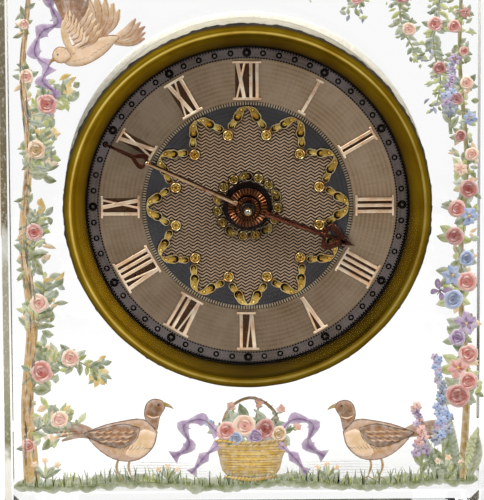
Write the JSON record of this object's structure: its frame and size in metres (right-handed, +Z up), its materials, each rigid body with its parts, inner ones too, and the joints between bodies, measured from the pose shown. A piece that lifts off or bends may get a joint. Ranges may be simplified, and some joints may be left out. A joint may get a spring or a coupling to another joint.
{
  "type": "glass mantel clock",
  "caption": "Mantel clock: a bevelled clear glass block with enamel decoration round a gilt bezel, an engine-turned dial with applied numerals and a key-wound movement.",
  "frame": {"origin": "on the block's base, below the dial and midway front to back; the base stands on the shelf", "axes": "+Z up, the dial faces -Y, +X to the right of someone facing the dial"},
  "size_m": [0.093, 0.0504, 0.122],
  "materials": {
    "block_glass": "clear polished glass with enamel painting on the front face",
    "crystal_glass": "clear domed glass",
    "packing_felt": "pale felt",
    "gasket_leather": "dark leather",
    "gilt_brass": "worn gilt, polished ridge",
    "silvered_dial": "silvered, matte chapter ring and engine-turned centre",
    "rose_gold": "polished rose gold",
    "yellow_gold": "chased yellow gold",
    "copper_gilt": "pierced copper gilt",
    "case_brass": "turned, lacquered brass",
    "movement_brass": "grained brass",
    "steel": "polished steel",
    "blued_spring": "blued steel"
  },
  "bodies": {
    "case": {"glass_block": "block_glass", "packing_sleeve": "packing_felt", "bezel_gasket": "gasket_leather", "bezel": "gilt_brass", "crystal": "crystal_glass", "dial": "silvered_dial", "numeral_1": "rose_gold", "numeral_2": "rose_gold", "numeral_3": "rose_gold", "numeral_4": "rose_gold", "numeral_5": "rose_gold", "numeral_6": "rose_gold", "numeral_7": "rose_gold", "numeral_8": "rose_gold", "numeral_9": "rose_gold", "numeral_10": "rose_gold", "numeral_11": "rose_gold", "numeral_12": "rose_gold", "dial_wreath": "yellow_gold", "rosette_ring": "yellow_gold", "drum_case": "case_brass", "rear_washer": "packing_felt", "retaining_ring": "case_brass", "rear_cover": "case_brass", "cover_screw_1": "steel", "cover_screw_2": "steel", "cover_screw_3": "steel", "front_plate": "movement_brass", "back_plate": "movement_brass", "pillar_1": "movement_brass", "pillar_2": "movement_brass", "pillar_3": "movement_brass", "pillar_4": "movement_brass", "pillar_screw_1": "steel", "pillar_screw_2": "steel", "pillar_screw_3": "steel", "pillar_screw_4": "steel", "hairspring": "blued_spring", "escapement_bridge": "movement_brass"},
    "minute_arbor": {"centre_wheel": "movement_brass", "cannon_pinion": "steel", "minute_hand": "copper_gilt", "hand_nut": "steel", "setting_knob": "case_brass"},
    "hour_pipe": {"hour_wheel": "movement_brass", "hour_hand": "copper_gilt"},
    "minute_wheel": {"minute_wheel": "movement_brass"},
    "barrel": {"mainspring_barrel": "movement_brass", "barrel_cap": "movement_brass", "mainspring": "blued_spring"},
    "winding_arbor": {"barrel_arbor": "steel", "ratchet_wheel": "steel", "winding_key": "case_brass"},
    "third_wheel": {"third_wheel": "movement_brass"},
    "fourth_wheel": {"fourth_wheel": "movement_brass"},
    "escape_wheel": {"escape_wheel": "movement_brass"},
    "pallet_lever": {"pallet_lever": "steel"},
    "balance": {"balance_wheel": "movement_brass"},
    "click": {"click": "steel"},
    "regulator": {"regulator_index": "steel"}
  },
  "joints": [
    {"name": "minute_turn", "type": "hinge", "parent": "case", "child": "minute_arbor", "pos_m": [0, 0, 0.061], "axis": [0, 1, 0], "continuous": true},
    {"name": "hour_turn", "type": "hinge", "parent": "case", "child": "hour_pipe", "pos_m": [0, 0, 0.061], "axis": [0, 1, 0], "continuous": true},
    {"name": "minute_wheel_turn", "type": "hinge", "parent": "case", "child": "minute_wheel", "pos_m": [-0.00509, 0, 0.06609], "axis": [0, 1, 0], "continuous": true},
    {"name": "barrel_turn", "type": "hinge", "parent": "case", "child": "barrel", "pos_m": [-0.01039, 0, 0.05061], "axis": [0, 1, 0], "continuous": true},
    {"name": "third_turn", "type": "hinge", "parent": "case", "child": "third_wheel", "pos_m": [0.0059, 0, 0.06803], "axis": [0, 1, 0], "continuous": true},
    {"name": "fourth_turn", "type": "hinge", "parent": "case", "child": "fourth_wheel", "pos_m": [0.01357, 0, 0.06524], "axis": [0, 1, 0], "continuous": true},
    {"name": "escape_turn", "type": "hinge", "parent": "case", "child": "escape_wheel", "pos_m": [0.01708, 0, 0.05916], "axis": [0, 1, 0], "continuous": true},
    {"name": "winding_turn", "type": "hinge", "parent": "case", "child": "winding_arbor", "pos_m": [-0.01039, 0, 0.05061], "axis": [0, 1, 0], "continuous": true},
    {"name": "pallet_rock", "type": "hinge", "parent": "case", "child": "pallet_lever", "pos_m": [0.0145, 0, 0.05548], "axis": [0, 1, 0], "range_deg": [-5, 5]},
    {"name": "balance_swing", "type": "hinge", "parent": "case", "child": "balance", "pos_m": [0.01028, 0, 0.04945], "axis": [0, 1, 0], "range_deg": [-220, 220], "stiffness_Nm_per_rad": 0.000017},
    {"name": "click_lift", "type": "hinge", "parent": "case", "child": "click", "pos_m": [-0.01591, 0, 0.05612], "axis": [0, -1, 0], "range_deg": [0, 12], "stiffness_Nm_per_rad": 0.001},
    {"name": "regulator_shift", "type": "hinge", "parent": "case", "child": "regulator", "pos_m": [0.01028, 0, 0.04945], "axis": [0, 1, 0], "range_deg": [-15, 15]}
  ],
  "couplings": [
    {"joint": "hour_turn", "follows": "minute_turn", "ratio": 0.083333},
    {"joint": "minute_wheel_turn", "follows": "minute_turn", "ratio": -0.33333},
    {"joint": "barrel_turn", "follows": "minute_turn", "ratio": -0.16667},
    {"joint": "third_turn", "follows": "minute_turn", "ratio": -8},
    {"joint": "fourth_turn", "follows": "minute_turn", "ratio": 60},
    {"joint": "escape_turn", "follows": "minute_turn", "ratio": -480}
  ]
}
